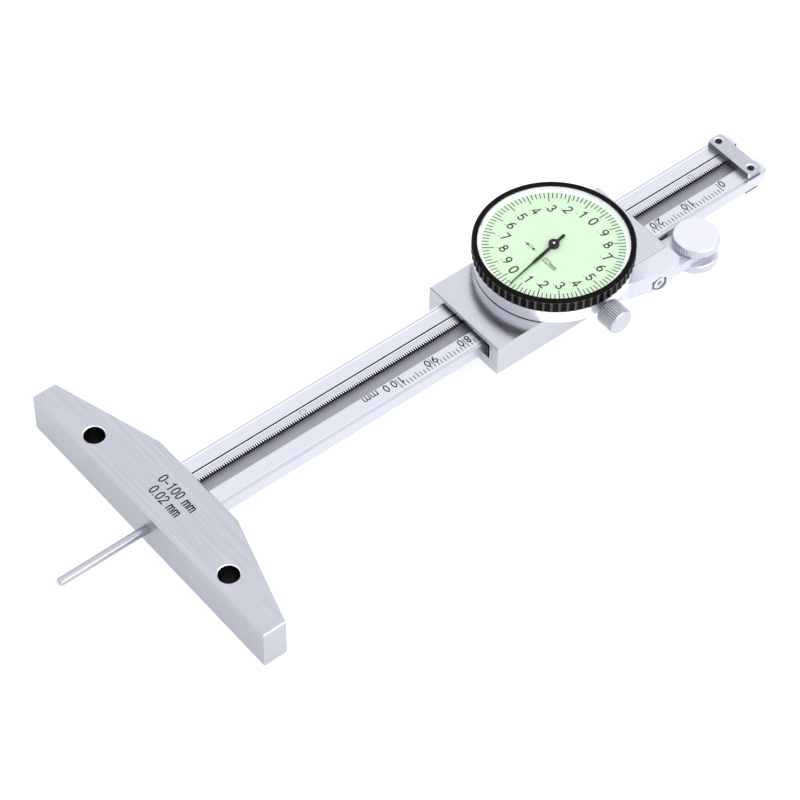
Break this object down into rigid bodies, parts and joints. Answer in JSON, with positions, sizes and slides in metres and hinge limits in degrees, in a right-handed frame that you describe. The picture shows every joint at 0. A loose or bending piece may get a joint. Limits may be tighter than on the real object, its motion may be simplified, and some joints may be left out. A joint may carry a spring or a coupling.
{
  "type": "dial depth gauge",
  "caption": "Dial depth gauge with a slanted measuring base, graduated beam, sliding dial head, thin depth rod, thumb roller and bezel clamp.",
  "frame": {"origin": "centre of the depth rod in the plane of the measuring face", "axes": "+X along the base, +Y along the beam away from the measuring face, +Z towards the dial"},
  "size_m": [0.087, 0.2063, 0.0198],
  "materials": {
    "ground_steel": "ground and brushed",
    "beam_steel": "satin with printed graduations",
    "rack_steel": "ground",
    "screw_steel": "turned",
    "movement_brass": "machined",
    "satin_alloy": "satin cast, bright edges",
    "bright_knurl": "straight knurl, bright",
    "black_bezel": "black, fluted",
    "dial_green": "matt with printed figures",
    "dial_white": "matt white",
    "clear_crystal": "clear and polished",
    "dark_hand": "dark, satin"
  },
  "bodies": {
    "frame": {"base": "ground_steel", "beam": "beam_steel", "rack": "rack_steel", "rack_pins": "rack_steel", "base_dowels": "rack_steel", "stop_plate": "ground_steel", "under_plate": "ground_steel", "stop_screws": "screw_steel"},
    "slider": {"slider_body": "ground_steel", "gib_strip": "movement_brass", "gib_spring": "screw_steel", "depth_rod": "rack_steel", "rod_screws": "screw_steel", "thumb_rest": "satin_alloy", "thumb_rest_screw": "screw_steel", "dial_housing": "satin_alloy", "housing_screws": "screw_steel", "movement_bridge": "movement_brass", "bridge_pillars": "movement_brass", "bridge_screws": "screw_steel", "hairspring": "screw_steel", "bezel_snap_ring": "screw_steel", "clamp_shoe": "movement_brass"},
    "bezel": {"bezel_ring": "black_bezel", "dial_face": "dial_green", "dial_spacer": "dial_white", "crystal": "clear_crystal"},
    "hand": {"centre_arbor": "movement_brass", "hand": "dark_hand"},
    "pinion": {"rack_pinion": "movement_brass", "drive_wheel": "movement_brass"},
    "backlash": {"backlash_gear": "movement_brass"},
    "roller": {"roller_upper": "bright_knurl", "roller_lower": "bright_knurl"},
    "clamp_screw": {"clamp_screw": "bright_knurl"}
  },
  "joints": [
    {"name": "slider_travel", "type": "slide", "parent": "frame", "child": "slider", "axis": [0, -1, 0], "range_m": [-0.02406, 0.07594]},
    {"name": "bezel_turn", "type": "hinge", "parent": "slider", "child": "bezel", "pos_m": [0, 0.11968, 0.012], "axis": [0, 0, 1], "continuous": true},
    {"name": "hand_turn", "type": "hinge", "parent": "slider", "child": "hand", "pos_m": [0, 0.11968, 0.012], "axis": [0, 0, 1], "range_deg": [-4340, 13680]},
    {"name": "pinion_turn", "type": "hinge", "parent": "slider", "child": "pinion", "pos_m": [0.0008, 0.12864, 0.008], "axis": [0, 0, 1], "range_deg": [-2740, 870]},
    {"name": "backlash_turn", "type": "hinge", "parent": "slider", "child": "backlash", "pos_m": [-0.00705, 0.11711, 0.008], "axis": [0, 0, 1], "range_deg": [-3425, 1086]},
    {"name": "roller_turn", "type": "hinge", "parent": "slider", "child": "roller", "pos_m": [0.0138, 0.15318, 0.002], "axis": [0, 0, 1], "range_deg": [-752, 240]},
    {"name": "clamp_turn", "type": "hinge", "parent": "slider", "child": "clamp_screw", "pos_m": [0.02, 0.11918, 0.0082], "axis": [-1, 0, 0], "range_deg": [-180, 60]}
  ],
  "couplings": [
    {"joint": "hand_turn", "follows": "slider_travel", "rad_per_m": 3141.6},
    {"joint": "pinion_turn", "follows": "slider_travel", "rad_per_m": -628.32},
    {"joint": "backlash_turn", "follows": "slider_travel", "rad_per_m": -785.4},
    {"joint": "roller_turn", "follows": "slider_travel", "rad_per_m": -172.41}
  ]
}
